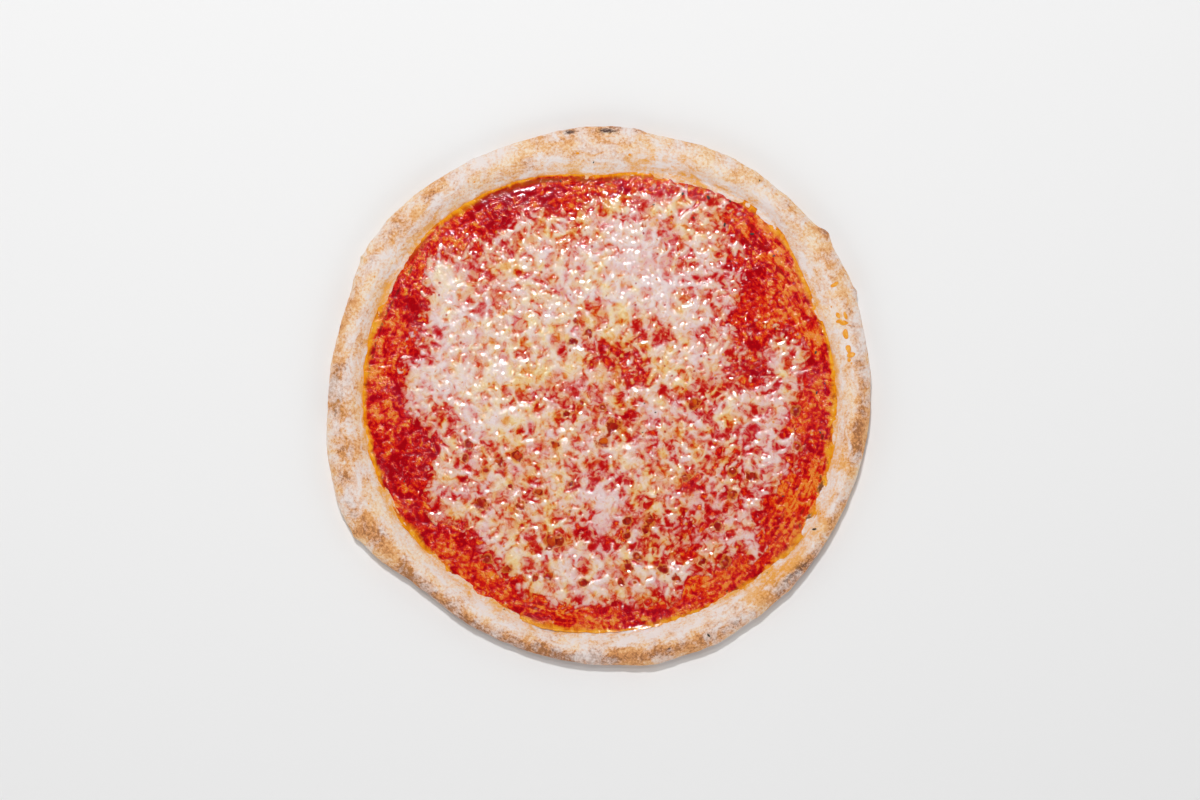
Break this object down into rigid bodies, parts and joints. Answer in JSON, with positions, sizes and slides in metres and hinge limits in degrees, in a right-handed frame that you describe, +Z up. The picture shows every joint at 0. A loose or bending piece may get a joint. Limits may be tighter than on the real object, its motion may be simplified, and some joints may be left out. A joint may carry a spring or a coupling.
{
  "type": "margherita pizza",
  "caption": "Whole round baked pizza with a raised floury rim, tomato sauce in its well and melted shredded mozzarella over the sauce.",
  "frame": {"origin": "middle of the outline, on the flat underside that the pizza rests on", "axes": "+Z up through the toppings; +X towards the side with the small cheese patch, +Y towards the side that is up when seen from above"},
  "size_m": [0.299, 0.2968, 0.0144],
  "materials": {
    "baked_dough": "dry floury baked dough, cream with tan patches",
    "tomato_sauce": "wet red tomato pulp with an oily orange edge",
    "melted_mozzarella": "soft glossy melted cheese, cream to pale yellow"
  },
  "bodies": {
    "root": {"crust": "baked_dough", "tomato_sauce": "tomato_sauce", "melted_cheese": "melted_mozzarella"}
  },
  "joints": []
}
